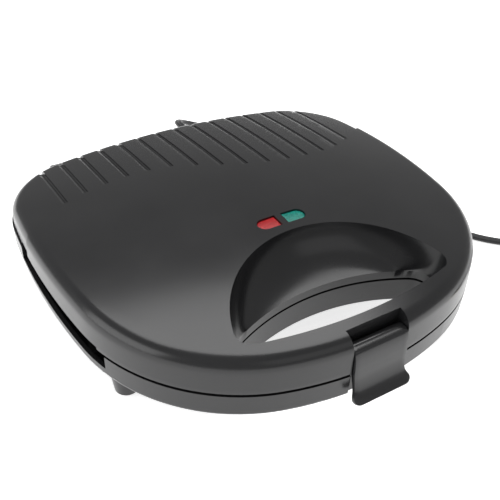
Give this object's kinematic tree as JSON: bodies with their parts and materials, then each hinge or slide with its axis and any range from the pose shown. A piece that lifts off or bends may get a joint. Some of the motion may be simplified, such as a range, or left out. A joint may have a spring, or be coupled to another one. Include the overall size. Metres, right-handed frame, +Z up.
{
  "type": "panini press",
  "caption": "Closed electric panini press with a crowned ribbed lid, front latch, finger scoop handle, red and green lamps, four legs and a flat mains lead",
  "frame": {"origin": "centre of the press's footprint on the surface it stands on, between the front latch and the hinge at the back", "axes": "+Z up, -Y towards the front (latch and handle), +X to the right of someone facing the front; the hinge line runs along X at the back"},
  "size_m": [0.3714, 0.3043, 0.0675],
  "materials": {
    "housing_plastic": "satin gloss moulded charcoal",
    "inner_plastic": "matte moulded black",
    "plate_coating": "satin dark non-stick coating",
    "element_steel": "dull steel sheath",
    "reflector_sheet": "mill finish sheet",
    "screw_steel": "zinc plated",
    "red_lens_plastic": "beaded translucent red",
    "green_lens_plastic": "beaded translucent green",
    "lamp_glass": "clear glass",
    "white_plastic": "matte white moulding",
    "foot_rubber": "matte black",
    "cord_rubber": "satin black sheath",
    "tie_plastic": "matte black strap",
    "plug_brass": "bright"
  },
  "bodies": {
    "base": {"lower_housing": "housing_plastic", "lower_handle_cover": "inner_plastic", "lower_grill_plate": "plate_coating", "lower_element": "element_steel", "lower_reflector": "reflector_sheet", "lower_plate_screws": "screw_steel", "lower_cover_screws": "screw_steel", "thermostat": "white_plastic", "thermal_fuse": "element_steel", "terminal_block": "white_plastic", "rubber_feet": "foot_rubber", "hinge_pins": "screw_steel", "cord_strain_relief": "cord_rubber", "power_cord": "cord_rubber", "cord_coil": "cord_rubber", "cord_tie": "tie_plastic", "plug": "cord_rubber", "plug_pins": "plug_brass"},
    "lid": {"upper_housing": "housing_plastic", "upper_handle_cover": "inner_plastic", "upper_grill_plate": "plate_coating", "upper_element": "element_steel", "upper_reflector": "reflector_sheet", "upper_plate_screws": "screw_steel", "upper_cover_screws": "screw_steel", "lamp_screws": "screw_steel", "red_lens": "red_lens_plastic", "green_lens": "green_lens_plastic", "red_neon": "lamp_glass", "green_neon": "lamp_glass", "lamp_holder": "white_plastic", "latch_pin": "screw_steel"},
    "latch": {"latch": "housing_plastic"}
  },
  "joints": [
    {"name": "lid_hinge", "type": "hinge", "parent": "base", "child": "lid", "pos_m": [0, 0.115, 0.04], "axis": [-1, 0, 0], "range_deg": [0, 95]},
    {"name": "latch_hinge", "type": "hinge", "parent": "lid", "child": "latch", "pos_m": [0, -0.1074, 0.051], "axis": [-1, 0, 0], "range_deg": [0, 45]}
  ]
}
